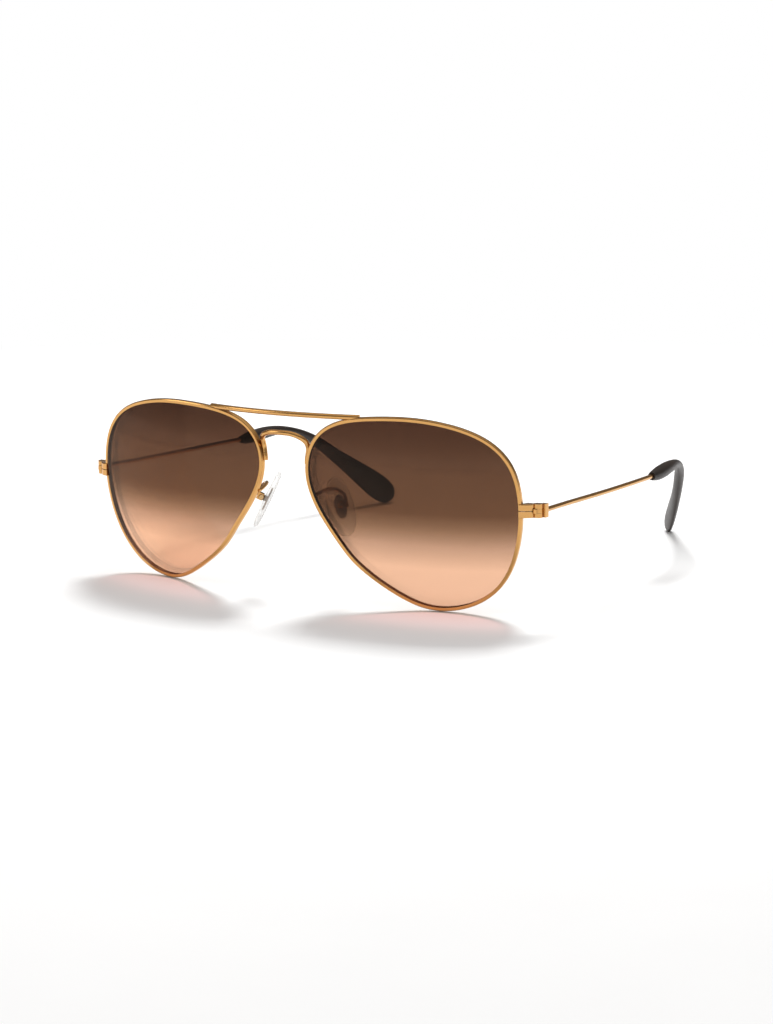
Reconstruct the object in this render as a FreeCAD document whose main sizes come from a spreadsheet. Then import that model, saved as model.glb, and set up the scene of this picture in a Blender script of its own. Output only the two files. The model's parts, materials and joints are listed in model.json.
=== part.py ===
import FreeCAD, Part
import math
import os
from FreeCAD import Placement, Rotation, Vector

# Metal aviator sunglasses, in millimetres.
# +X is the wearer's left, -Y the front, +Z up.  X = 0 is the plane of symmetry and Z = 0 the table
# that the open glasses stand on.  The left half is modelled and the right half mirrors it.

doc = FreeCAD.newDocument("AviatorSunglasses")

# --------------------------------------------------------------------------------------------
# Driving dimensions
# --------------------------------------------------------------------------------------------

DIMENSIONS = {
    # lens and rim
    "lens_width": (58.0, "boxed width of one lens"),
    "lens_radius": (86.8, "radius of the lens's spherical mid surface"),
    "lens_thickness": (1.8, "thickness of the lens"),
    "lens_setback": (0.27, "how far the lens's middle sits behind the bevel"),
    "lens_centre_x": (37.03, "lens centre from the plane of symmetry"),
    "lens_centre_z": (25.18, "lens centre above the table"),
    "wrap_angle": (8.79, "turn of each lens about the vertical"),
    "pantoscopic_angle": (5.8, "forward lean of the top of the front"),
    "rim_width": (0.95, "rim wire, across the edge of the lens"),
    "rim_depth": (1.45, "rim wire, front to back"),
    "rim_rounding": (0.28, "rounding of the rim wire's corners"),
    "groove_depth": (0.35, "depth of the V groove that holds the lens"),
    "groove_width": (0.8, "width of the V groove"),
    "edge_gap": (0.05, "gap between the lens and the rim"),
    "rim_slot": (0.3, "slot where the rim is split at the end piece"),
    # end piece and its screw
    "block_bottom": (26.5, "underside of the end piece"),
    "block_tall": (3.5, "height of the end piece"),
    "block_gap": (0.2, "gap between the two closing blocks"),
    "plate_thickness": (0.45, "metal in front of the rim at the end piece"),
    "rim_screw_radius": (0.5, "shank of the rim screw"),
    "rim_screw_head_radius": (0.8, "head of the rim screw"),
    "rim_screw_head_tall": (0.55, "height of the rim screw's head"),
    # hinge
    "hinge_x": (68.9, "hinge axis from the plane of symmetry"),
    "hinge_y": (11.5, "hinge axis behind the lens centres"),
    "knuckle_radius": (1.25, "hinge barrel"),
    "knuckle_gap": (0.05, "play between neighbouring knuckles, and around them"),
    "leaf_thickness": (0.45, "leaf that joins the two front knuckles"),
    "hinge_screw_radius": (0.5, "shank of the hinge screw"),
    "hinge_screw_head_radius": (0.85, "head of the hinge screw"),
    "hinge_screw_head_tall": (0.45, "height of the hinge screw's head"),
    "pin_play": (0.04, "radial play of the hinge screw in the turning knuckle"),
    "screw_fit": (0.02, "radial play of a screw in its thread"),
    "slot_width": (0.25, "screwdriver slots"),
    # temple
    "temple_wire_radius": (0.65, "temple wire"),
    "temple_block_thickness": (1.5, "block that joins the temple wire to its knuckle"),
    "temple_block_length": (1.7, "the same block, front to back"),
    "tip_length": (69.0, "plastic tip along its centre line"),
    "tip_wire_short": (6.0, "how far the wire stops before the end of the tip"),
    "sleeve_fit": (0.02, "radial play of the wire in the tip"),
    # brow bar and bridge
    "brow_half_span": (23.1, "half of the brow bar's span"),
    "brow_bow": (3.0, "how far the brow bar bows forward"),
    "brow_height": (50.16, "middle of the brow bar above the table"),
    "brow_end_y": (0.4, "middle of the brow bar's ends behind the lens centres"),
    "brow_tall": (1.42, "section of the brow bar, up and down"),
    "brow_deep": (1.4, "section of the brow bar, front to back"),
    "bridge_radius": (0.7, "wire of the nose bridge"),
    # nose pads
    "pad_arm_radius": (0.5, "wire of the pad arms"),
    "pad_length": (16.6, "nose pad, top to bottom"),
    "pad_width": (8.4, "nose pad, front to back"),
    "pad_thickness": (1.9, "nose pad"),
    "pad_splay": (31.0, "turn of the pad's back edge outwards"),
    "pad_flare": (26.0, "turn of the pad's bottom edge outwards"),
    "pad_x": (11.6, "middle of the pad from the plane of symmetry"),
    "pad_y": (9.0, "middle of the pad behind the lens centres"),
    "pad_z": (24.5, "middle of the pad above the table"),
    "core_thickness": (0.4, "metal core inside the pad"),
    "tab_thickness": (1.0, "tab of the core, between the cheeks of the pad box"),
    "tab_radius": (0.7, "rounded end of that tab"),
    "box_wall": (0.4, "sheet of the pad box"),
    "box_length": (1.9, "pad box along the pad"),
    "box_standoff": (1.75, "pad screw's axis from the middle of the pad"),
    "pad_screw_radius": (0.35, "shank of the pad screw"),
    "pad_screw_head_radius": (0.7, "head of the pad screw"),
    "pad_screw_head_tall": (0.35, "height of the pad screw's head"),
}

sheet = doc.addObject("Spreadsheet::Sheet", "Sizes")
for row, (alias, (value, meaning)) in enumerate(DIMENSIONS.items(), start=1):
    sheet.set(f"A{row}", meaning)
    sheet.set(f"B{row}", str(value))
    sheet.setAlias(f"B{row}", alias)
doc.recompute()

sub_parts = []


def size(alias):
    """The value of one driving dimension."""
    return float(sheet.get(alias))


def bind(item, **formulas):
    """Bind properties to formulas of sheet aliases, which are written as Sizes.alias."""
    for name, formula in formulas.items():
        item.setExpression(name.replace("__", "."), formula)
    return item


def move_to(item, **formulas):
    """Bind the place of an object: move_to(item, x="Sizes.hinge_x")."""
    for axis, formula in formulas.items():
        item.setExpression("Placement.Base." + axis, formula)
    return item


def keep(item, label):
    """Name an object as a sub-part of the left side or the middle."""
    item.Label = label
    sub_parts.append(item)
    return item


def keep_pair(item, name):
    """Name a left-hand sub-part and add its mirror image on the right."""
    keep(item, name + "_left")
    mirror = doc.addObject("Part::Mirroring", name + "_mirror")
    mirror.Source = item
    mirror.Normal = Vector(1, 0, 0)
    keep(mirror, name + "_right")


def box(name, length, width, height):
    """A box whose three sides are sheet formulas."""
    return bind(doc.addObject("Part::Box", name), Length=length, Width=width, Height=height)


def cylinder(name, radius, height, angle=360):
    """A cylinder, or a sector of one, whose radius and height are sheet formulas."""
    item = bind(doc.addObject("Part::Cylinder", name), Radius=radius, Height=height)
    item.Angle = angle
    return item


def cut(name, base, tool):
    item = doc.addObject("Part::Cut", name)
    item.Base = base
    item.Tool = tool
    return item


def fuse(name, *shapes):
    item = doc.addObject("Part::MultiFuse", name)
    item.Shapes = list(shapes)
    item.Refine = False
    return item


def solid(name, shape):
    """A document object for a shape made with Part's own functions."""
    item = doc.addObject("Part::Feature", name)
    item.Shape = shape
    return item


def body_with_sketch(name, plane_role, geometry):
    """A PartDesign body with one sketch on one of its own origin planes."""
    body = doc.addObject("PartDesign::Body", name)
    sketch = body.newObject("Sketcher::SketchObject", name + "_sketch")
    plane = next(f for f in body.Origin.OriginFeatures if f.Role == plane_role)
    sketch.AttachmentSupport = [(plane, "")]
    sketch.MapMode = "FlatFace"
    sketch.addGeometry(geometry, False)
    return body, sketch


def pad_body(name, plane_role, geometry, length, midplane=False):
    """A body padded from one sketch, by a sheet formula."""
    body, sketch = body_with_sketch(name, plane_role, geometry)
    pad = body.newObject("PartDesign::Pad", name + "_pad")
    pad.Profile = sketch
    pad.Midplane = midplane
    bind(pad, Length=length)
    doc.recompute()
    return body


def line(start, end):
    return Part.LineSegment(Vector(*start, 0), Vector(*end, 0))


def lines_through(*points):
    """A closed run of line segments for a sketch."""
    return [line(a, b) for a, b in zip(points, points[1:] + points[:1])]


# --------------------------------------------------------------------------------------------
# Lens shape: a flat outline, lifted onto the lens's sphere and turned into place
# --------------------------------------------------------------------------------------------

# Poles of a closed cubic spline (outwards, up) for a lens 58 mm wide.
OUTLINE_POLES = [
    (32.0, 16.0), (11.0, 25.0), (-7.0, 25.5), (-26.5, 23.0), (-32.0, 7.5),
    (-20.0, -8.0), (-16.5, -13.5), (-3.5, -22.5), (7.5, -27.0), (28.0, -19.5),
]
OUTLINE_NOMINAL_WIDTH = 58.0
SPINE_POINTS = 90

AXIS_BACK = Vector(0, 1, 0)


def outline_curve():
    """Centre line of the rim, seen along the lens's axis."""
    scale = size("lens_width") / OUTLINE_NOMINAL_WIDTH
    poles = [Vector(u, v, 0) * scale for u, v in OUTLINE_POLES]
    return Part.BSplineCurve(poles, None, None, True, 3, None, False)


def lift(point):
    """Stand a point of the flat outline up, and move it back onto the lens's sphere."""
    radius = size("lens_radius")
    depth = radius - math.sqrt(radius**2 - point.x**2 - point.y**2)
    return Vector(point.x, depth, point.y)


def rim_spine():
    """The rim's centre line as a closed curve on the sphere."""
    flat = outline_curve()
    first, last = flat.FirstParameter, flat.LastParameter
    steps = [first + (last - first) * i / SPINE_POINTS for i in range(SPINE_POINTS)]
    return closed_curve([lift(flat.value(t)) for t in steps])


def quarters(curve):
    """A closed curve in four pieces, which sweep and cut more soundly than one."""
    first, span = curve.FirstParameter, curve.LastParameter - curve.FirstParameter
    pieces = []
    for i in range(4):
        piece = curve.copy()
        piece.segment(first + span * i / 4, first + span * (i + 1) / 4)
        pieces.append(piece)
    return pieces


def closed_curve(points):
    curve = Part.BSplineCurve()
    curve.interpolate(Points=points, PeriodicFlag=True)
    return curve


def lens_outline():
    """Outline of the lens inside the rim's inner face, in four pieces."""
    inset = size("rim_width") / 2 + 1.5 * size("edge_gap")
    inside = Part.Wire(outline_curve().toShape()).makeOffset2D(-inset)
    return quarters(closed_curve(inside.discretize(SPINE_POINTS + 1)[:-1]))


def lens_placement():
    """Turn the lens by its wrap and pantoscopic angles, and move it to its centre."""
    wrap = Rotation(Vector(0, 0, 1), size("wrap_angle"))
    lean = Rotation(Vector(1, 0, 0), size("pantoscopic_angle"))
    return Placement(Vector(size("lens_centre_x"), 0, size("lens_centre_z")), lean.multiply(wrap))


def swept_ring(corners):
    """Sweep a section, given as (outwards, back) corners from the centre line, round the lens."""
    spine = rim_spine()
    start = spine.value(spine.FirstParameter)
    tangent = Vector(*spine.tangent(spine.FirstParameter)[0])
    outwards = tangent.cross(AXIS_BACK).normalize()
    if outwards.dot(start) < 0:
        outwards = -outwards
    points = [start + outwards * r + AXIS_BACK * w for r, w in corners]
    pipe = Part.BRepOffsetAPI.MakePipeShell(Part.Wire([q.toShape() for q in quarters(spine)]))
    pipe.setBiNormalMode(AXIS_BACK)
    pipe.add(Part.makePolygon(points + points[:1]))
    pipe.build()
    pipe.makeSolid()
    return pipe.shape()


def rim_section():
    """Corners of the rim wire: chamfered outside, with a V groove on the lens side."""
    half, deep = size("rim_width") / 2, size("rim_depth") / 2
    round_off = size("rim_rounding")
    groove, mouth = size("groove_depth"), size("groove_width") / 2
    shallow = round_off * (1 - math.sqrt(0.5))
    outside = [
        (half - round_off, -deep), (half - shallow, shallow - deep), (half, round_off - deep),
        (half, deep - round_off), (half - shallow, deep - shallow), (half - round_off, deep),
    ]
    return outside + [(-half, deep), (-half, mouth), (groove - half, 0), (-half, -mouth), (-half, -deep)]


def bevel_section():
    """Corners of the lens's edge: the V that sits in the groove, and a root inside the lens."""
    shift = size("edge_gap") * 1.5
    half = size("rim_width") / 2
    root = size("groove_width") / 2
    mouth = size("groove_width") / 2 - size("edge_gap")
    return [
        (-half - shift - root, mouth), (-half - shift, mouth),
        (size("groove_depth") - half - shift, 0),
        (-half - shift, -mouth), (-half - shift - root, -mouth),
    ]


def rim_ring():
    """The whole rim wire, before it is split."""
    ring = solid("rim_ring", swept_ring(rim_section()))
    ring.Placement = lens_placement()
    return ring


def rim_split_point():
    """The rim's outermost point on the temple side, where the end piece sits."""
    place, spine = lens_placement(), rim_spine()
    return max((place.multVec(p) for p in spine.discretize(400)), key=lambda p: p.x)


def make_rim(ring, split):
    """The rim wire with its slot."""
    slot = box("rim_slot", "4 * Sizes.rim_width", "3 * Sizes.rim_depth", "Sizes.rim_slot")
    slot.Placement.Base = Vector(split.x - 2 * size("rim_width"), split.y - 1.5 * size("rim_depth"), 0)
    move_to(slot, z="Sizes.block_bottom + (Sizes.block_tall - Sizes.rim_slot) / 2")
    keep_pair(cut("rim", ring, slot), "rim")


def lens_ball(name, offset):
    """A sphere about the lens's centre of curvature."""
    ball = bind(doc.addObject("Part::Sphere", name), Radius="Sizes.lens_radius " + offset)
    return move_to(ball, y="Sizes.lens_radius")


def make_lens():
    """Two concentric spheres, trimmed to the outline, with a V bevel all round."""
    outline = doc.addObject("Sketcher::SketchObject", "lens_outline")
    outline.addGeometry(lens_outline(), False)
    outline.Placement = Placement(Vector(), Rotation(Vector(1, 0, 0), 90))
    blank = doc.addObject("Part::Extrusion", "lens_blank")
    blank.Base = outline
    blank.DirMode = "Custom"
    blank.Dir = AXIS_BACK
    blank.Solid = True
    blank.Symmetric = True
    bind(blank, LengthFwd="Sizes.lens_width / 2")
    front = lens_ball("lens_front", "+ Sizes.lens_thickness / 2 - Sizes.lens_setback")
    back = lens_ball("lens_back", "- Sizes.lens_thickness / 2 - Sizes.lens_setback")
    plate = doc.addObject("Part::Common", "lens_plate")
    plate.Base = cut("lens_shell", front, back)
    plate.Tool = blank
    bevel = solid("lens_bevel", swept_ring(bevel_section()))
    lens = fuse("lens", plate, bevel)
    lens.Placement = lens_placement()
    keep_pair(lens, "lens")


# --------------------------------------------------------------------------------------------
# End piece: two closing blocks that pinch the rim round the lens
# --------------------------------------------------------------------------------------------

LEAF_START, LEAF_END = 180, 245
HEEL_START, HEEL_END = 247, 285


def from_hinge(radius, angle):
    """A point (x, y) at a radius and an angle in degrees round the hinge axis."""
    turn = math.radians(angle)
    return (size("hinge_x") + radius * math.cos(turn), size("hinge_y") + radius * math.sin(turn))


def leaf_radius():
    return size("knuckle_radius") + size("knuckle_gap") + size("leaf_thickness")


def block_outline(split):
    """Plan of a closing block: a curved plate in front of the rim and a lug behind it."""
    place = lens_placement()
    outwards = place.Rotation.multVec(Vector(1, 0, 0))
    back = place.Rotation.multVec(AXIS_BACK)
    half, deep = size("rim_width") / 2, size("rim_depth") / 2
    rim_front = split - outwards * half * 0.7 - back * (deep + size("plate_thickness"))
    front_inner = (rim_front.x, rim_front.y)
    front_outer = from_hinge(leaf_radius(), LEAF_END)
    middle = Vector((front_inner[0] + front_outer[0]) / 2, (front_inner[1] + front_outer[1]) / 2, 0)
    across = Vector(front_outer[1] - front_inner[1], front_inner[0] - front_outer[0], 0).normalize()
    bulge = middle + across * size("plate_thickness")
    rear_outer = from_hinge(leaf_radius(), LEAF_START)
    rim_rear = split + outwards * half * 0.5 + back * deep
    rear_inner = (rim_rear.x + half, rear_outer[1])
    corners = [
        front_outer, from_hinge(0, 0), rear_outer, rear_inner,
        (rim_rear.x, rim_rear.y), (split.x, split.y), front_inner,
    ]
    front = Part.Arc(Vector(*front_inner, 0), bulge, Vector(*front_outer, 0))
    return [front] + [line(a, b) for a, b in zip(corners, corners[1:])]


def rim_screw_place():
    """The rim screw stands between the rim and the hinge leaf."""
    split = rim_split_point()
    rim_face = split.x + size("rim_width") / 2
    leaf_x, leaf_y = from_hinge(leaf_radius(), (LEAF_START + LEAF_END) / 2)
    return Vector((rim_face + leaf_x - size("block_gap")) / 2, leaf_y - size("leaf_thickness"), 0)


def upright_hole(name, place, radius, height, z):
    hole = cylinder(name, radius, height)
    hole.Placement.Base = place
    return move_to(hole, z=z)


def at_hinge(item, z, start_angle=0):
    """Stand a part on the hinge axis."""
    item.Placement.Rotation = Rotation(Vector(0, 0, 1), start_angle)
    return move_to(item, x="Sizes.hinge_x", y="Sizes.hinge_y", z=z)


def round_rim_of_block(body, top):
    """Round the plan edges of a block at its free end."""
    pad = body.Tip
    edges = [
        f"Edge{i}" for i, edge in enumerate(pad.Shape.Edges, start=1)
        if abs(edge.BoundBox.ZMin - top) < 1e-6 and abs(edge.BoundBox.ZMax - top) < 1e-6
        and edge.CenterOfMass.y < size("hinge_y") - size("leaf_thickness")
        and edge.CenterOfMass.x > rim_split_point().x
    ]
    fillet = body.newObject("PartDesign::Fillet", body.Name + "_rounding")
    fillet.Base = (pad, edges)
    bind(fillet, Radius="Sizes.plate_thickness / 2.2")
    doc.recompute()


def make_closing_blocks(ring, split):
    """Upper block with the screw's thread, lower block with its clearance hole."""
    tall = "(Sizes.block_tall - Sizes.block_gap) / 2"
    screw = rim_screw_place()
    upper = pad_body("block_upper", "XY_Plane", block_outline(split), tall)
    round_rim_of_block(upper, (size("block_tall") - size("block_gap")) / 2)
    move_to(upper, z="Sizes.block_bottom + (Sizes.block_tall + Sizes.block_gap) / 2")
    lower = pad_body("block_lower", "XY_Plane", block_outline(split), tall)
    round_rim_of_block(lower, 0)
    move_to(lower, z="Sizes.block_bottom")
    leaf = "Sizes.knuckle_radius + Sizes.knuckle_gap + Sizes.leaf_thickness"
    seat = at_hinge(cylinder("leaf_seat", leaf, "Sizes.block_tall"), "Sizes.block_bottom")
    clear = at_hinge(
        cylinder("leaf_clearance", leaf + " + Sizes.knuckle_gap", "Sizes.block_tall"), "Sizes.block_bottom"
    )
    thread = upright_hole(
        "rim_screw_thread", screw, "Sizes.rim_screw_radius + Sizes.screw_fit",
        "Sizes.block_tall - 3 * Sizes.block_gap", "Sizes.block_bottom",
    )
    bore = upright_hole(
        "rim_screw_bore", screw, "Sizes.rim_screw_radius + Sizes.pin_play",
        "Sizes.block_tall", "Sizes.block_bottom",
    )
    mouth = upright_hole(
        "rim_screw_mouth", screw, "Sizes.rim_screw_head_radius + Sizes.pin_play",
        "Sizes.rim_screw_head_tall", "Sizes.block_bottom",
    )
    upper = cut("upper_metal", upper, fuse("upper_space", seat, thread))
    keep_pair(cut("closing_block_upper", upper, ring), "closing_block_upper")
    lower = cut("lower_metal", lower, fuse("lower_space", clear, bore, mouth))
    keep_pair(cut("closing_block_lower", lower, ring), "closing_block_lower")


def make_screw(name, prefix, length):
    """A slotted screw with its head at the bottom: sizes are <prefix>_radius and so on."""
    head_tall = f"Sizes.{prefix}_head_tall"
    head = cylinder(name + "_head", f"Sizes.{prefix}_head_radius", head_tall)
    shank = cylinder(name + "_shank", f"Sizes.{prefix}_radius", length)
    rounding = doc.addObject("Part::Fillet", name + "_head_rounded")
    rounding.Base = head
    doc.recompute()
    low_edge = next(
        i for i, e in enumerate(head.Shape.Edges, start=1) if e.BoundBox.ZMax < 1e-6 and len(e.Vertexes) == 1
    )
    rounding.Edges = [(low_edge, size(prefix + "_head_tall") / 3, size(prefix + "_head_tall") / 3)]
    slot = box(name + "_slot", f"3 * Sizes.{prefix}_head_radius", "Sizes.slot_width", head_tall + " / 2")
    move_to(slot, x=f"-1.5 * Sizes.{prefix}_head_radius", y="-Sizes.slot_width / 2")
    return cut(name, fuse(name + "_blank", rounding, shank), slot)


def make_rim_screw():
    screw = make_screw("rim_screw", "rim_screw", "Sizes.block_tall - 3.5 * Sizes.block_gap")
    screw.Placement.Base = rim_screw_place()
    move_to(screw, z="Sizes.block_bottom")
    keep_pair(screw, "rim_screw")


# --------------------------------------------------------------------------------------------
# Hinge: two front knuckles, one temple knuckle between them, and a screw
# --------------------------------------------------------------------------------------------


def hinge_sector(name, radius, height, z, start, end):
    return at_hinge(cylinder(name, radius, height, end - start), z, start)


def make_front_hinge():
    """Knuckles at the top and bottom, joined by a curved leaf on the end piece's side."""
    low = "Sizes.block_bottom"
    barrel = at_hinge(cylinder("front_barrel", "Sizes.knuckle_radius", "Sizes.block_tall"), low)
    leaf = hinge_sector(
        "front_leaf", "Sizes.knuckle_radius + Sizes.knuckle_gap + Sizes.leaf_thickness",
        "Sizes.block_tall", low, LEAF_START, LEAF_END,
    )
    space = at_hinge(
        cylinder("middle_space", "Sizes.knuckle_radius + Sizes.knuckle_gap", "Sizes.block_tall / 3"),
        "Sizes.block_bottom + Sizes.block_tall / 3",
    )
    bore = at_hinge(
        cylinder("front_bore", "Sizes.hinge_screw_radius + Sizes.screw_fit", "Sizes.block_tall"), low
    )
    mouth = at_hinge(
        cylinder(
            "front_mouth", "Sizes.hinge_screw_head_radius + Sizes.screw_fit", "Sizes.hinge_screw_head_tall"
        ),
        "Sizes.block_bottom + Sizes.block_tall - Sizes.hinge_screw_head_tall",
    )
    hinge = cut("hinge_front", fuse("front_metal", barrel, leaf), fuse("front_space", space, bore, mouth))
    keep_pair(hinge, "hinge_front")


def make_hinge_screw():
    """The screw goes in from above, so it is made head down and turned over."""
    screw = make_screw("hinge_screw", "hinge_screw", "Sizes.block_tall - Sizes.block_gap")
    screw.Placement.Rotation = Rotation(Vector(1, 0, 0), 180)
    move_to(screw, x="Sizes.hinge_x", y="Sizes.hinge_y", z="Sizes.block_bottom + Sizes.block_tall")
    keep_pair(screw, "hinge_screw")


def make_temple_hinge(wire_start):
    """Middle knuckle with its stop heel, and the block that holds the temple wire."""
    half = size("temple_block_thickness") / 2
    front = size("hinge_y") + size("leaf_thickness")
    rear = front + size("temple_block_length")
    inner, outer = wire_start.x - half, wire_start.x + half
    outline = lines_through((inner, front), (outer, front), (outer, rear), (inner, rear))
    block = pad_body("temple_block", "XY_Plane", outline, "Sizes.block_tall")
    round_temple_block(block, rear)
    move_to(block, z="Sizes.block_bottom")
    third = "Sizes.block_tall / 3"
    zone = "Sizes.knuckle_radius + Sizes.knuckle_gap"
    low = at_hinge(cylinder("low_space", zone, third), "Sizes.block_bottom")
    high = at_hinge(cylinder("high_space", zone, third), "Sizes.block_bottom + 2 * " + third)
    height = third + " - 2 * Sizes.knuckle_gap"
    middle = "Sizes.block_bottom + Sizes.knuckle_gap + " + third
    knuckle = at_hinge(cylinder("temple_knuckle", "Sizes.knuckle_radius", height), middle)
    heel = hinge_sector(
        "stop_heel", "Sizes.knuckle_radius + Sizes.leaf_thickness", height, middle, HEEL_START, HEEL_END
    )
    bore = at_hinge(
        cylinder("temple_bore", "Sizes.hinge_screw_radius + Sizes.pin_play", "Sizes.block_tall"),
        "Sizes.block_bottom",
    )
    socket_radius = "Sizes.temple_wire_radius + 2 * Sizes.sleeve_fit"
    socket = cylinder("wire_socket", socket_radius, "Sizes.temple_block_length")
    socket.Placement = Placement(wire_start, Rotation(Vector(0, 0, 1), AXIS_BACK))
    arm = cut("temple_arm", block, fuse("knuckle_space", low, high))
    metal = fuse("temple_metal", arm, knuckle, heel)
    keep_pair(cut("temple_hinge", metal, fuse("temple_space", bore, socket)), "temple_hinge")


def round_temple_block(body, rear):
    """Round the block's rear edges, where the wire comes out."""
    pad = body.Tip
    edges = [
        f"Edge{i}" for i, edge in enumerate(pad.Shape.Edges, start=1)
        if abs(edge.BoundBox.YMin - rear) < 1e-6 and abs(edge.BoundBox.YMax - rear) < 1e-6
    ]
    fillet = body.newObject("PartDesign::Fillet", body.Name + "_rounding")
    fillet.Base = (pad, edges)
    bind(fillet, Radius="Sizes.leaf_thickness / 1.5")
    doc.recompute()


# --------------------------------------------------------------------------------------------
# Wires: a round section swept along a curve
# --------------------------------------------------------------------------------------------


def smooth_curve(points):
    curve = Part.BSplineCurve()
    curve.interpolate(Points=[Vector(*p) for p in points])
    return curve


def wire_along(name, curve, radius):
    """A round wire whose radius is a sheet formula."""
    path = solid(name + "_path", curve.toShape())
    start = curve.value(curve.FirstParameter)
    tangent = Vector(*curve.tangent(curve.FirstParameter)[0])
    section = bind(doc.addObject("Part::Circle", name + "_section"), Radius=radius)
    section.Placement = Placement(start, Rotation(Vector(0, 0, 1), tangent))
    sweep = doc.addObject("Part::Sweep", name)
    sweep.Sections = [section]
    sweep.Spine = (path, ["Edge1"])
    sweep.Solid = True
    return sweep


def shortened(curve, length):
    """The same curve, from its start to a given length along it."""
    part = curve.copy()
    part.segment(curve.FirstParameter, curve.parameterAtDistance(length, curve.FirstParameter))
    return part


# --------------------------------------------------------------------------------------------
# Temple: a straight wire that turns down behind the ear inside a plastic tip
# --------------------------------------------------------------------------------------------

# Way points of the left temple's centre line, from its block to the end of its tip.
TEMPLE_WAY_POINTS = [
    (70.15, 13.05, 28.25), (69.55, 46.0, 27.3), (68.8, 80.0, 26.65), (67.75, 92.0, 26.6),
    (65.95, 104.0, 26.45), (63.6, 110.0, 23.6), (60.9, 115.6, 19.4), (55.3, 125.5, 10.9), (48.4, 135.7, 1.4),
]
# Tip sections: share of the tip's length, half width in the ear's plane, half thickness.
TIP_SECTIONS = [
    (0.00, 1.10, 1.10), (0.012, 1.28, 1.28), (0.30, 1.30, 1.30), (0.48, 1.60, 1.40), (0.62, 2.15, 1.40),
    (0.76, 3.10, 1.30), (0.88, 3.90, 1.25), (0.94, 3.80, 1.20), (0.975, 3.0, 1.10), (0.992, 1.85, 0.85),
    (1.00, 0.45, 0.35),
]
# The flat side of the paddle faces this way, level, towards the head.
PADDLE_NORMAL = Vector(0.869, 0.494, 0)


def tip_section(curve, distance, half_width, half_thickness):
    """One elliptical section, square to the temple's centre line."""
    parameter = curve.parameterAtDistance(distance, curve.FirstParameter)
    centre = curve.value(parameter)
    tangent = Vector(*curve.tangent(parameter)[0])
    normal = (PADDLE_NORMAL - tangent * PADDLE_NORMAL.dot(tangent)).normalize()
    width_way = tangent.cross(normal)
    ellipse = Part.Ellipse(
        centre + width_way * half_width * 1.0001, centre + normal * half_thickness, centre
    )
    return Part.Wire(ellipse.toShape())


def make_temple():
    """Temple wire, and the tip with a bore for it."""
    curve = smooth_curve(TEMPLE_WAY_POINTS)
    whole = curve.length()
    wire_curve = shortened(curve, whole - size("tip_wire_short"))
    keep_pair(wire_along("temple_wire", wire_curve, "Sizes.temple_wire_radius"), "temple_wire")
    start = whole - size("tip_length")
    sections = [
        tip_section(curve, start + share * size("tip_length"), wide, thick)
        for share, wide, thick in TIP_SECTIONS
    ]
    outside = solid("tip_outside", Part.makeLoft(sections, True))
    bore = wire_along("tip_bore", wire_curve, "Sizes.temple_wire_radius + Sizes.sleeve_fit")
    keep_pair(cut("temple_tip", outside, bore), "temple_tip")
    return curve.value(curve.FirstParameter)


# --------------------------------------------------------------------------------------------
# Brow bar and nose bridge
# --------------------------------------------------------------------------------------------


def make_brow_bar():
    """An arc of oval wire, brazed into the tops of both rims."""
    span, bow = size("brow_half_span"), size("brow_bow")
    radius = (span**2 + bow**2) / (2 * bow)
    tall, deep = size("brow_tall") / 2, size("brow_deep") / 2
    oval = Part.Ellipse(Vector(-radius, tall, 0), Vector(-radius + deep, 0, 0), Vector(-radius, 0, 0))
    body, sketch = body_with_sketch("brow_arc", "YZ_Plane", oval)
    turn = body.newObject("PartDesign::Revolution", "brow_turn")
    turn.Profile = sketch
    turn.ReferenceAxis = (sketch, ["V_Axis"])
    turn.Midplane = True
    turn.Angle = 2 * math.degrees(math.asin(span / radius))
    body.Placement.Base = Vector(0, size("brow_end_y") - bow + radius, 0)
    move_to(body, z="Sizes.brow_height")
    keep(body, "brow_bar")


# Way points of half the bridge: from the foot on the rim, up its leg, to the middle of the arch.
BRIDGE_WAY_POINTS = [
    (6.55, 0.95, 36.8), (6.75, 1.0, 39.0), (7.0, 0.9, 41.0), (6.8, 0.1, 42.6), (5.7, -1.0, 43.9),
    (3.2, -1.75, 44.8), (0, -2.0, 44.95),
]


def make_nose_bridge(both_rims):
    """A wire hoop with a leg along the inner side of each rim."""
    right_half = [(-x, y, z) for x, y, z in reversed(BRIDGE_WAY_POINTS[:-1])]
    hoop = wire_along("bridge_hoop", smooth_curve(BRIDGE_WAY_POINTS + right_half), "Sizes.bridge_radius")
    keep(cut("nose_bridge", hoop, both_rims), "nose_bridge")


# --------------------------------------------------------------------------------------------
# Nose pads: an arm, a box, a screw, and a clear pad on a metal core
# --------------------------------------------------------------------------------------------


def pad_placement():
    """Pad frame: X to the pad's back edge, Y to the nose, Z up the pad."""
    splay = Rotation(Vector(0, 0, 1), 90 - size("pad_splay"))
    flare = Rotation(Vector(1, 0, 0), -size("pad_flare"))
    return Placement(Vector(size("pad_x"), size("pad_y"), size("pad_z")), splay.multiply(flare))


def pad_outline():
    """Closed spline: a rounded drop, a little wider at the bottom."""
    wide, tall = size("pad_width"), size("pad_length")
    poles = [
        (0.48 * wide, 0.3 * tall), (0, 0.6 * tall), (-0.48 * wide, 0.3 * tall),
        (-0.56 * wide, -0.3 * tall), (0, -0.6 * tall), (0.54 * wide, -0.3 * tall),
    ]
    return Part.BSplineCurve([Vector(x, y, 0) for x, y in poles], None, None, True, 3, None, False)


def along_pad_screw(name, radius, length):
    """A cylinder centred on the pad screw's axis, which runs along the pad frame's X."""
    rod = cylinder(name, radius, length)
    rod.Placement.Rotation = Rotation(Vector(0, 1, 0), 90)
    return move_to(rod, x="-(" + length + ") / 2", y="-Sizes.box_standoff")


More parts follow.
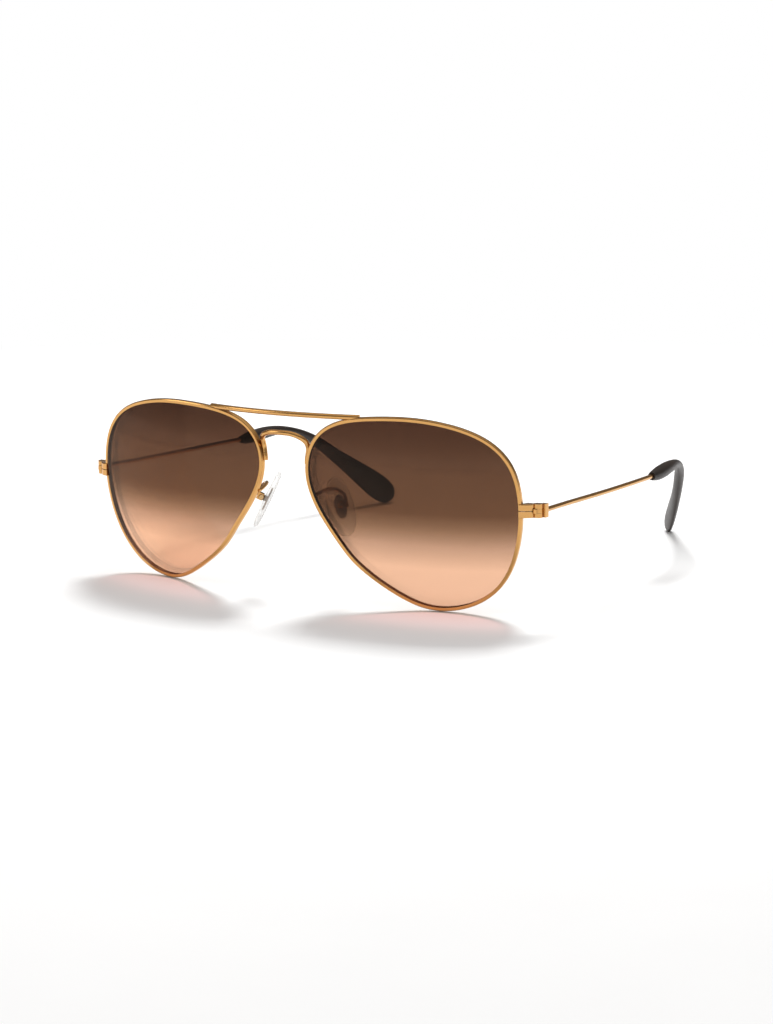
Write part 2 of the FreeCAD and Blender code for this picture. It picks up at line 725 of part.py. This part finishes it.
def make_pad_core():
    """An oval plate inside the pad, and the tab that stands out of it."""
    top, side = Vector(0, size("pad_length") / 5, 0), Vector(size("pad_width") / 5, 0, 0)
    plate_outline = Part.Ellipse(top, side, Vector())
    plate = pad_body("core_plate", "XZ_Plane", plate_outline, "Sizes.core_thickness", midplane=True)
    tab = box("core_tab", "Sizes.tab_thickness", "Sizes.box_standoff", "2 * Sizes.tab_radius")
    move_to(tab, x="-Sizes.tab_thickness / 2", y="-Sizes.box_standoff", z="-Sizes.tab_radius")
    end = along_pad_screw("core_end", "Sizes.tab_radius", "Sizes.tab_thickness")
    hole = along_pad_screw("core_hole", "Sizes.pad_screw_radius + Sizes.pin_play", "2 * Sizes.tab_thickness")
    core = cut("pad_core", fuse("core_metal", plate, tab, end), hole)
    core.Placement = pad_placement()
    keep_pair(core, "pad_core")
    return core


def make_nose_pad(core):
    """The clear pad: a drop-shaped plate with rounded edges, moulded over the core."""
    body = pad_body("pad_shape", "XZ_Plane", pad_outline(), "Sizes.pad_thickness", midplane=True)
    pad = body.Tip
    thick = size("pad_thickness") / 2
    edges = [
        f"Edge{i}" for i, e in enumerate(pad.Shape.Edges, start=1)
        if abs(abs(e.CenterOfMass.y) - thick) < 1e-6
    ]
    fillet = body.newObject("PartDesign::Fillet", "pad_rounding")
    fillet.Base = (pad, edges)
    bind(fillet, Radius="Sizes.pad_thickness * 0.42")
    body.Placement = pad_placement()
    doc.recompute()
    keep_pair(cut("nose_pad", body, core), "nose_pad")


def make_pad_box():
    """A U of sheet metal: two cheeks beside the tab and a back plate."""
    inner = size("tab_thickness") / 2 + size("knuckle_gap")
    outer = inner + size("box_wall")
    axis = -size("box_standoff")
    mouth = axis + size("tab_radius") * 0.7
    floor = axis - size("tab_radius") - 2 * size("knuckle_gap")
    back = floor - size("box_wall")
    outline = lines_through(
        (-outer, mouth), (-outer, back), (outer, back), (outer, mouth),
        (inner, mouth), (inner, floor), (-inner, floor), (-inner, mouth),
    )
    channel = pad_body("box_channel", "XY_Plane", outline, "Sizes.box_length", midplane=True)
    hole = along_pad_screw("box_hole", "Sizes.pad_screw_radius + Sizes.screw_fit", "4 * Sizes.tab_thickness")
    bracket = cut("pad_box", channel, hole)
    bracket.Placement = pad_placement()
    keep_pair(bracket, "pad_box")
    return back


def make_pad_screw():
    """The screw's head lies against the front cheek."""
    grip = "Sizes.tab_thickness + 2 * Sizes.knuckle_gap + 2 * Sizes.box_wall"
    screw = make_screw("pad_screw", "pad_screw", f"{grip} + Sizes.pad_screw_head_tall")
    cheek = size("tab_thickness") / 2 + size("knuckle_gap") + size("box_wall")
    head_start = Vector(-cheek - size("pad_screw_head_tall"), -size("box_standoff"), 0)
    along = Placement(head_start, Rotation(Vector(0, 0, 1), Vector(1, 0, 0)))
    screw.Placement = pad_placement().multiply(along)
    keep_pair(screw, "pad_screw")


# Way points of the left pad arm, from the back of the rim towards the pad box.
ARM_WAY_POINTS = [(8.45, 0.4, 28.5), (9.2, 4.4, 29.2), (11.0, 7.7, 29.3), (13.1, 8.5, 27.9)]


def make_pad_arm(back):
    """A goose-neck wire, brazed into the rim at one end and into the back of the pad box at the other."""
    end = pad_placement().multVec(Vector(0, back, 0))
    curve = smooth_curve(ARM_WAY_POINTS + [tuple(end)])
    keep_pair(wire_along("pad_arm", curve, "Sizes.pad_arm_radius"), "pad_arm")


# --------------------------------------------------------------------------------------------
# Build, check and write
# --------------------------------------------------------------------------------------------


def make_everything():
    ring = rim_ring()
    split = rim_split_point()
    other_ring = doc.addObject("Part::Mirroring", "other_ring")
    other_ring.Source = ring
    other_ring.Normal = Vector(1, 0, 0)
    both_rims = fuse("both_rims", ring, other_ring)
    make_rim(ring, split)
    make_lens()
    make_closing_blocks(ring, split)
    make_rim_screw()
    make_front_hinge()
    make_hinge_screw()
    wire_start = make_temple()
    make_temple_hinge(wire_start)
    make_brow_bar()
    make_nose_bridge(both_rims)
    core = make_pad_core()
    make_nose_pad(core)
    back = make_pad_box()
    make_pad_screw()
    make_pad_arm(back)


def check():
    """Stop if any object failed, or a sub-part isn't one sound solid or more."""
    for item in doc.Objects:
        if "Invalid" in item.State or "Error" in item.State:
            raise RuntimeError(f"{item.Name} failed: {item.State}")
    for item in sub_parts:
        if item.Shape.isNull() or not item.Shape.isValid() or not item.Shape.Solids:
            raise RuntimeError(f"{item.Label} has no sound solid")


make_everything()
doc.recompute()
check()
os.makedirs("parts", exist_ok=True)
for item in sub_parts:
    item.Shape.exportStep(f"parts/{item.Label}.step")
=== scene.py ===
"""Looks of the sunglasses: materials, clear nose pads, floor, lights and camera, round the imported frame."""

import json
import math

import bmesh
import bpy
import numpy as np
from mathutils import Matrix, Vector


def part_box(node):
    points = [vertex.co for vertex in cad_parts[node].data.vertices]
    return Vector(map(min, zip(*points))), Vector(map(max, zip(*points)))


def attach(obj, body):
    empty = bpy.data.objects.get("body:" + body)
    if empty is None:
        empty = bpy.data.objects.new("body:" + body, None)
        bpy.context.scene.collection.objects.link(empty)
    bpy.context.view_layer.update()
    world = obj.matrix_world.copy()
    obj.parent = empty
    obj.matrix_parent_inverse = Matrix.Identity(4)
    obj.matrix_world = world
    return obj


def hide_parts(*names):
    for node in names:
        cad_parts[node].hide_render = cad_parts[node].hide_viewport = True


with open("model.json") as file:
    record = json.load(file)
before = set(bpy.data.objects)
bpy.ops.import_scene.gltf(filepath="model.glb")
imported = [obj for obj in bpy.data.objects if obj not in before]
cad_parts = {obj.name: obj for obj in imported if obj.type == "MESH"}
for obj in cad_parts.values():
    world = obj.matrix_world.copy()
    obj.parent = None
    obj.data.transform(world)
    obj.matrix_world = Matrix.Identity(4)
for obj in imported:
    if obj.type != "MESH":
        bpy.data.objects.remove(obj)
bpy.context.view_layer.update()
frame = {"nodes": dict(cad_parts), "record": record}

MM = 0.001
SIDES = ("left", "right")

# Camera: where it stands round the object, and what it looks at.
CAMERA_AZIMUTH = 31.14
CAMERA_ELEVATION = 10.67
CAMERA_ROLL = -0.43
CAMERA_DISTANCE = 643.4 * MM
CAMERA_AIM = Vector((13.07, 30.0, 19.73)) * MM
CAMERA_LENS = 83.35

# Floor, in metres: where it starts and ends turning into the white sweep, and how far it runs.
SWEEP_START = 0.30
SWEEP_END = 0.60
FLOOR_REACH = 8.0

# Nose pad section from the middle of its nose side, round its edge, to the middle of its back: share of the
# way to the edge, and height as a share of its thickness.
PAD_PROFILE = (
    (0.30, 0.495), (0.60, 0.475), (0.82, 0.42), (0.95, 0.28), (1.00, 0.03), (0.97, -0.22), (0.86, -0.36),
    (0.62, -0.42), (0.40, -0.44), (0.31, -0.46), (0.27, -0.49), (0.18, -0.50),
)
PAD_RING_POINTS = 36
# Outline of the pad: how square its corners are, how much wider its bottom is, and a divisor for its width.
PAD_SQUARENESS = 2.3
PAD_FULLER = 0.10
PAD_SLIMMER = 1.04

# Heights on the lens where its tint changes, as shares of the lens height, with the tint that light keeps.
LENS_TINTS = (
    (0.00, (0.800, 0.480, 0.320)),
    (0.22, (0.790, 0.470, 0.310)),
    (0.34, (0.480, 0.280, 0.180)),
    (0.44, (0.215, 0.112, 0.062)),
    (0.52, (0.112, 0.050, 0.024)),
    (0.72, (0.095, 0.043, 0.022)),
    (0.90, (0.062, 0.028, 0.016)),
    (1.00, (0.052, 0.023, 0.014)),
)
# What the lens does to the colour of its shadow, on top of its tint, and the share of bare glass's reflection
# that its coating leaves.
SHADOW_TINT = (0.93, 0.84, 1.0)
COATING = 0.35

# Height in the sky, from straight down to straight up, with its colour in reflections.
SKY = (
    (0.00, (0.90, 0.90, 0.90)),
    (0.49, (0.75, 0.75, 0.75)),
    (0.53, (0.42, 0.42, 0.42)),
    (0.60, (0.15, 0.14, 0.13)),
    (0.80, (0.25, 0.24, 0.23)),
    (1.00, (0.88, 0.88, 0.88)),
)

# Softboxes: name, azimuth and elevation in degrees, distance and width in metres, watts, and whether they
# show in reflections.
LIGHTS = (
    ("key_behind", 203, 54, 1.1, 0.28, 10.0, False),
    ("top_fill", 20, 80, 1.2, 0.9, 2.8, False),
    ("side_card", -50, 25, 1.0, 0.35, 1.0, True),
)

# Plated metals: main colour, deeper colour, paler worn colour, roughness.
METALS = {
    "gold_metal": ((0.70, 0.385, 0.135), (0.52, 0.25, 0.07), (0.88, 0.64, 0.36), 0.15),
    "gold_screws": ((0.72, 0.48, 0.24), (0.48, 0.28, 0.11), (0.90, 0.74, 0.50), 0.24),
    "pad_metal": ((0.34, 0.22, 0.13), (0.18, 0.11, 0.06), (0.62, 0.46, 0.30), 0.30),
}


# ---------------------------------------------------------------- shader helpers


def new_material(name):
    """An empty node material and its tree."""
    made = bpy.data.materials.new(name)
    made.use_nodes = True
    made.node_tree.nodes.clear()
    return made, made.node_tree


def node(tree, kind, inputs=None, **settings):
    """A shader node: settings are its own values, and inputs are set, or linked where they are sockets."""
    made = tree.nodes.new("ShaderNode" + kind)
    for name, value in settings.items():
        setattr(made, name, value)
    for key, value in (inputs or {}).items():
        if isinstance(value, bpy.types.NodeSocket):
            tree.links.new(value, made.inputs[key])
        else:
            made.inputs[key].default_value = value
    return made


def end_with(tree, shader):
    """Links a shader to the material's surface."""
    node(tree, "OutputMaterial", {"Surface": shader})


def colour(red, green, blue):
    return (red, green, blue, 1.0)


def ramp(tree, value, stops):
    """A colour ramp through (place, colour) stops."""
    made = node(tree, "ValToRGB", {"Fac": value})
    elements = made.color_ramp.elements
    while len(elements) < len(stops):
        elements.new(0.5)
    for element, (place, shade) in zip(elements, stops):
        element.position = place
        element.color = colour(*shade)
    return made.outputs["Color"]


def noise(tree, scale, detail=4.0, roughness=0.5, stretch=(1, 1, 1)):
    """Grey noise in the frame's metres: scale is in cells per metre, and stretch makes streaks."""
    place = node(tree, "TexCoord").outputs["Object"]
    mapped = node(tree, "Mapping", {"Vector": place, "Scale": stretch}).outputs["Vector"]
    made = node(tree, "TexNoise", {
        "Vector": mapped,
        "Scale": scale,
        "Detail": detail,
        "Roughness": roughness,
    })
    return made.outputs["Fac"]


def between(tree, value, low, high):
    """Value from 0..1 spread over low..high."""
    made = node(tree, "MapRange", {"Value": value, "To Min": low, "To Max": high})
    return made.outputs["Result"]


def blend_colours(tree, share, first, second, kind="MIX"):
    """Second colour over the first by a share from 0 to 1."""
    made = node(tree, "Mix", data_type="RGBA", blend_type=kind)
    for socket, value in (("Factor_Float", share), ("A_Color", first), ("B_Color", second)):
        target = next(s for s in made.inputs if s.identifier == socket)
        if isinstance(value, bpy.types.NodeSocket):
            tree.links.new(value, target)
        else:
            target.default_value = value
    return next(s for s in made.outputs if s.identifier == "Result_Color")


def edge_share(tree, radius, gain):
    """1 on edges sharper than radius, 0 on broad faces."""
    rounded = node(tree, "Bevel", {"Radius": radius}, samples=4).outputs["Normal"]
    flat = node(tree, "NewGeometry").outputs["Normal"]
    same = node(tree, "VectorMath", {0: rounded, 1: flat}, operation="DOT_PRODUCT").outputs["Value"]
    made = node(tree, "MapRange", {"Value": same, "From Min": 1.0, "From Max": 1.0 - gain})
    return made.outputs["Result"]


# ---------------------------------------------------------------- materials


def plated_metal(name, shade, deep, pale, roughness):
    """Thin plating on metal: warm colour drift, polish marks, painted shade in hollows and paler worn edges.
    """
    # Reach and darkness of the painted shade that darkens the colour in hollows and between parts.
    painted_shade_reach = 0.8 * MM
    painted_shade_darkness = 0.35
    edge_radius = 0.12 * MM
    grain_height = 0.02 * MM
    made, tree = new_material(name)
    drift = noise(tree, 160, 3)
    marks = noise(tree, 2600, 6, 0.7)
    grain = noise(tree, 9000, 2)
    base = blend_colours(tree, between(tree, drift, 0.0, 0.45), colour(*shade), colour(*deep))
    # Painted shade: ambient occlusion darkens the base colour in hollows and between parts, where shade
    # falls.
    painted_shade_ao = node(tree, "AmbientOcclusion", {"Distance": painted_shade_reach}, samples=8).outputs["AO"]
    painted_shade_share = between(tree, painted_shade_ao, 0.75, 0.0)
    base = blend_colours(tree, painted_shade_share, base, colour(*[painted_shade_darkness * c for c in deep]))
    worn = edge_share(tree, edge_radius, 0.25)
    patchy = between(tree, marks, 0.0, 0.8)
    worn_part = node(tree, "Math", {0: worn, 1: patchy}, operation="MULTIPLY").outputs[0]
    base = blend_colours(tree, worn_part, base, colour(*pale))
    polish = between(tree, marks, roughness * 0.65, roughness * 1.5)
    bump = node(tree, "Bump", {"Height": grain, "Strength": 0.06, "Distance": grain_height})
    shader = node(tree, "BsdfPrincipled", {
        "Base Color": base,
        "Metallic": 1.0,
        "Roughness": polish,
        "Normal": bump.outputs["Normal"],
    })
    end_with(tree, shader.outputs["BSDF"])
    return made


def gradient_lens():
    """Tinted lens: dark brown above, running to clear peach below, with a coated, faintly smeared surface."""
    made, tree = new_material("gradient_lens")
    low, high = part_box("lens_left")
    place = node(tree, "TexCoord").outputs["Object"]
    height = node(tree, "SeparateXYZ", {"Vector": place}).outputs["Z"]
    share = node(tree, "MapRange", {"Value": height, "From Min": low.z, "From Max": high.z}).outputs["Result"]
    # Light crosses the front and the back face, so each face takes the square root of the whole tint.
    stops = [(at, [math.sqrt(c) for c in tint]) for at, tint in LENS_TINTS]
    tint = ramp(tree, share, stops)
    pinker = blend_colours(tree, 1.0, tint, colour(*SHADOW_TINT), "MULTIPLY")
    to_floor = node(tree, "LightPath").outputs["Is Shadow Ray"]
    clear = node(tree, "BsdfTransparent", {"Color": blend_colours(tree, to_floor, tint, pinker)})
    smear = between(tree, noise(tree, 140, 5, 0.6, (1, 1, 3)), 0.015, 0.07)
    gloss = node(tree, "BsdfGlossy", {"Roughness": smear, "Color": colour(1.0, 0.86, 0.74)})
    mirror = node(tree, "Fresnel", {"IOR": 1.5}).outputs["Fac"]
    coated = node(tree, "Math", {0: mirror, 1: COATING}, operation="MULTIPLY").outputs[0]
    mixed = node(tree, "MixShader", {"Fac": coated, 1: clear.outputs[0], 2: gloss.outputs[0]})
    end_with(tree, mixed.outputs[0])
    return made


def tip_plastic():
    """Glossy near-black moulded tips with a warm depth and light handling marks."""
    made, tree = new_material("tip_plastic")
    cloud = noise(tree, 220, 4)
    base = blend_colours(tree, cloud, colour(0.013, 0.011, 0.010), colour(0.036, 0.022, 0.016))
    marks = noise(tree, 1500, 6, 0.65, (1, 0.25, 1))
    bump = node(tree, "Bump", {"Height": marks, "Strength": 0.08, "Distance": 0.02 * MM})
    shader = node(tree, "BsdfPrincipled", {
        "Base Color": base,
        "Roughness": between(tree, marks, 0.32, 0.50),
        "IOR": 1.40,
        "Coat Weight": 0.06,
        "Coat Roughness": 0.2,
        "Normal": bump.outputs["Normal"],
    })
    end_with(tree, shader.outputs["BSDF"])
    return made


def clear_silicone():
    """Soft clear pads: see-through with a slightly milky body and a satin skin."""
    made, tree = new_material("clear_silicone")
    cloud = noise(tree, 300, 3)
    skin = noise(tree, 4000, 3)
    bump = node(tree, "Bump", {"Height": skin, "Strength": 0.12, "Distance": 0.02 * MM})
    clear = node(tree, "BsdfTransparent", {"Color": colour(0.97, 0.97, 0.965)})
    milk = node(tree, "BsdfTranslucent", {"Color": colour(0.90, 0.90, 0.89)})
    milky = between(tree, cloud, 0.20, 0.40)
    body = node(tree, "MixShader", {"Fac": milky, 1: clear.outputs[0], 2: milk.outputs[0]})
    gloss = node(tree, "BsdfGlossy", {
        "Color": colour(0.9, 0.9, 0.9),
        "Roughness": between(tree, skin, 0.15, 0.30),
        "Normal": bump.outputs["Normal"],
    })
    mirror = node(tree, "Fresnel", {"IOR": 1.41, "Normal": bump.outputs["Normal"]}).outputs["Fac"]
    sheen = node(tree, "Math", {0: mirror, 1: 0.22}, operation="MULTIPLY").outputs[0]
    skinned = node(tree, "MixShader", {"Fac": sheen, 1: body.outputs[0], 2: gloss.outputs[0]})
    end_with(tree, skinned.outputs[0])
    return made


def paint(name, material):
    """Gives a CAD node one material."""
    data = frame["nodes"][name].data
    data.materials.clear()
    data.materials.append(material)


def paint_everything(finishes):
    """Gives every CAD node the finish of its material slot."""
    for part in frame["record"]["subparts"]:
        paint(part["node"], finishes[part["material_slot"]])


# ---------------------------------------------------------------- nose pads


def axes_of(name):
    """Middle, axes and half sizes of a CAD node along its own long, wide and thin directions."""
    points = np.array([v.co for v in frame["nodes"][name].data.vertices])
    mean = points.mean(0)
    _, directions = np.linalg.eigh(np.cov((points - mean).T))
    local = (points - mean) @ directions[:, ::-1]
    half = (local.max(0) - local.min(0)) / 2
    middle = mean + directions[:, ::-1] @ ((local.max(0) + local.min(0)) / 2)
    return Vector(middle), [Vector(d) for d in directions[:, ::-1].T], half


def pad_edge(turn, half):
    """Point on the pad's outline: a rounded drop, wider at the bottom."""
    up, across = math.cos(turn), math.sin(turn)
    fuller = 1.0 - PAD_FULLER * up
    square = (abs(up) ** PAD_SQUARENESS + abs(across) ** PAD_SQUARENESS) ** (-1 / PAD_SQUARENESS)
    return up * square * half[0], across * square * half[1] * fuller / PAD_SLIMMER


def make_nose_pad(side, material):
    """A crowned, see-through pad with a rolled edge, in the place of the plain solid."""
    name = "nose_pad_" + side
    middle, (tall, wide, thin), half = axes_of(name)
    if tall.z < 0:
        tall = -tall
    if thin.x * middle.x > 0:
        thin = -thin
    wide = tall.cross(thin)
    mesh = bmesh.new()
    rings = []
    for share, height in PAD_PROFILE:
        ring = []
        for i in range(PAD_RING_POINTS):
            up, across = pad_edge(2 * math.pi * i / PAD_RING_POINTS, half)
            lift = height * 2 * half[2]
            ring.append(mesh.verts.new(middle + (tall * up + wide * across) * share + thin * lift))
        rings.append(ring)
    for ring, following in zip(rings, rings[1:]):
        for i in range(PAD_RING_POINTS):
            j = (i + 1) % PAD_RING_POINTS
            mesh.faces.new((ring[i], ring[j], following[j], following[i]))
    for ring, height in ((rings[0], 0.5), (rings[-1], -0.5)):
        centre = mesh.verts.new(middle + thin * height * 2 * half[2])
        for i in range(PAD_RING_POINTS):
            mesh.faces.new((ring[i], ring[(i + 1) % PAD_RING_POINTS], centre))
    bmesh.ops.recalc_face_normals(mesh, faces=mesh.faces)
    data = bpy.data.meshes.new("clear_" + name)
    mesh.to_mesh(data)
    mesh.free()
    data.shade_smooth()
    data.materials.append(material)
    pad = bpy.data.objects.new("clear_" + name, data)
    bpy.context.scene.collection.objects.link(pad)
    smooth = pad.modifiers.new("smooth", "SUBSURF")
    smooth.levels = smooth.render_levels = 2
    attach(pad, "pad_" + side)
    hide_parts(name)


# ---------------------------------------------------------------- stage


def sweep_material():
    """Pale matt floor that runs into a plain white sweep away from the object."""
    made, tree = new_material("studio_floor")
    mottle = noise(tree, 30, 3)
    pale = blend_colours(tree, mottle, colour(0.90, 0.90, 0.90), colour(0.93, 0.93, 0.93))
    matt = node(tree, "BsdfDiffuse", {"Color": pale})
    white = node(tree, "Emission", {"Color": colour(1.0, 1.0, 1.0), "Strength": 1.0})
    place = node(tree, "TexCoord").outputs["Object"]
    away = node(tree, "VectorMath", {0: place}, operation="LENGTH").outputs["Value"]
    share = node(tree, "MapRange", {"Value": away, "From Min": SWEEP_START, "From Max": SWEEP_END})
    mixed = node(tree, "MixShader", {"Fac": share.outputs["Result"], 1: matt.outputs[0], 2: white.outputs[0]})
    end_with(tree, mixed.outputs[0])
    return made


def make_floor():
    """A wide square at the height the object stands on."""
    data = bpy.data.meshes.new("floor")
    corners = [(-1, -1, 0), (1, -1, 0), (1, 1, 0), (-1, 1, 0)]
    data.from_pydata([Vector(c) * FLOOR_REACH for c in corners], [], [(0, 1, 2, 3)])
    floor = bpy.data.objects.new("floor", data)
    bpy.context.scene.collection.objects.link(floor)
    data.materials.append(sweep_material())


def make_light(name, azimuth, elevation, distance, width, power, glossy):
    """A square softbox that looks at CAMERA_AIM: azimuth 0 stands on the -Y side, 90 on +X."""
    turn, lift = math.radians(azimuth), math.radians(elevation)
    away = Vector((math.sin(turn) * math.cos(lift), -math.cos(turn) * math.cos(lift), math.sin(lift)))
    data = bpy.data.lights.new(name, "AREA")
    data.shape = "SQUARE"
    data.size = width
    data.energy = power
    light = bpy.data.objects.new(name, data)
    light.location = CAMERA_AIM + away * distance
    light.rotation_mode = "QUATERNION"
    light.rotation_quaternion = (-away).to_track_quat("-Z", "Y")
    light.visible_glossy = glossy
    bpy.context.scene.collection.objects.link(light)


def make_world():
    """White to the camera; a softbox sky with a darker band near the horizon to everything else."""
    world = bpy.data.worlds.new("studio")
    world.use_nodes = True
    tree = world.node_tree
    tree.nodes.clear()
    direction = node(tree, "TexCoord").outputs["Generated"]
    height = node(tree, "SeparateXYZ", {"Vector": direction}).outputs["Z"]
    up = node(tree, "MapRange", {"Value": height, "From Min": -1.0, "From Max": 1.0}).outputs["Result"]
    sky = ramp(tree, up, SKY)
    seen = node(tree, "LightPath").outputs["Is Camera Ray"]
    shade = blend_colours(tree, seen, sky, colour(1.0, 1.0, 1.0))
    back = node(tree, "Background", {"Color": shade, "Strength": 1.0})
    node(tree, "OutputWorld", {"Surface": back.outputs["Background"]})
    bpy.context.scene.world = world


def make_camera():
    """Looks at CAMERA_AIM from the front and to one side, rolled a little."""
    data = bpy.data.cameras.new("camera")
    data.sensor_width = 36.0
    data.sensor_fit = "AUTO"
    data.lens = CAMERA_LENS
    data.clip_start, data.clip_end = 0.01, 50.0
    camera = bpy.data.objects.new("camera", data)
    turn, lift = math.radians(CAMERA_AZIMUTH), math.radians(CAMERA_ELEVATION)
    back = Vector((math.sin(turn) * math.cos(lift), -math.cos(turn) * math.cos(lift), math.sin(lift)))
    camera.location = CAMERA_AIM + back * CAMERA_DISTANCE
    camera.rotation_mode = "QUATERNION"
    level = (-back).to_track_quat("-Z", "Y")
    roll = Matrix.Rotation(math.radians(CAMERA_ROLL), 4, "Z").to_quaternion()
    camera.rotation_quaternion = level @ roll
    bpy.context.scene.collection.objects.link(camera)
    bpy.context.scene.camera = camera


finishes = {name: plated_metal(name, *looks) for name, looks in METALS.items()}
finishes["gradient_lens"] = gradient_lens()
finishes["tip_plastic"] = tip_plastic()
finishes["clear_pad"] = clear_silicone()
paint_everything(finishes)
for pad_side in SIDES:
    make_nose_pad(pad_side, finishes["clear_pad"])
make_floor()
make_world()
for light in LIGHTS:
    make_light(*light)
make_camera()
bpy.context.scene.view_settings.view_transform = "Standard"
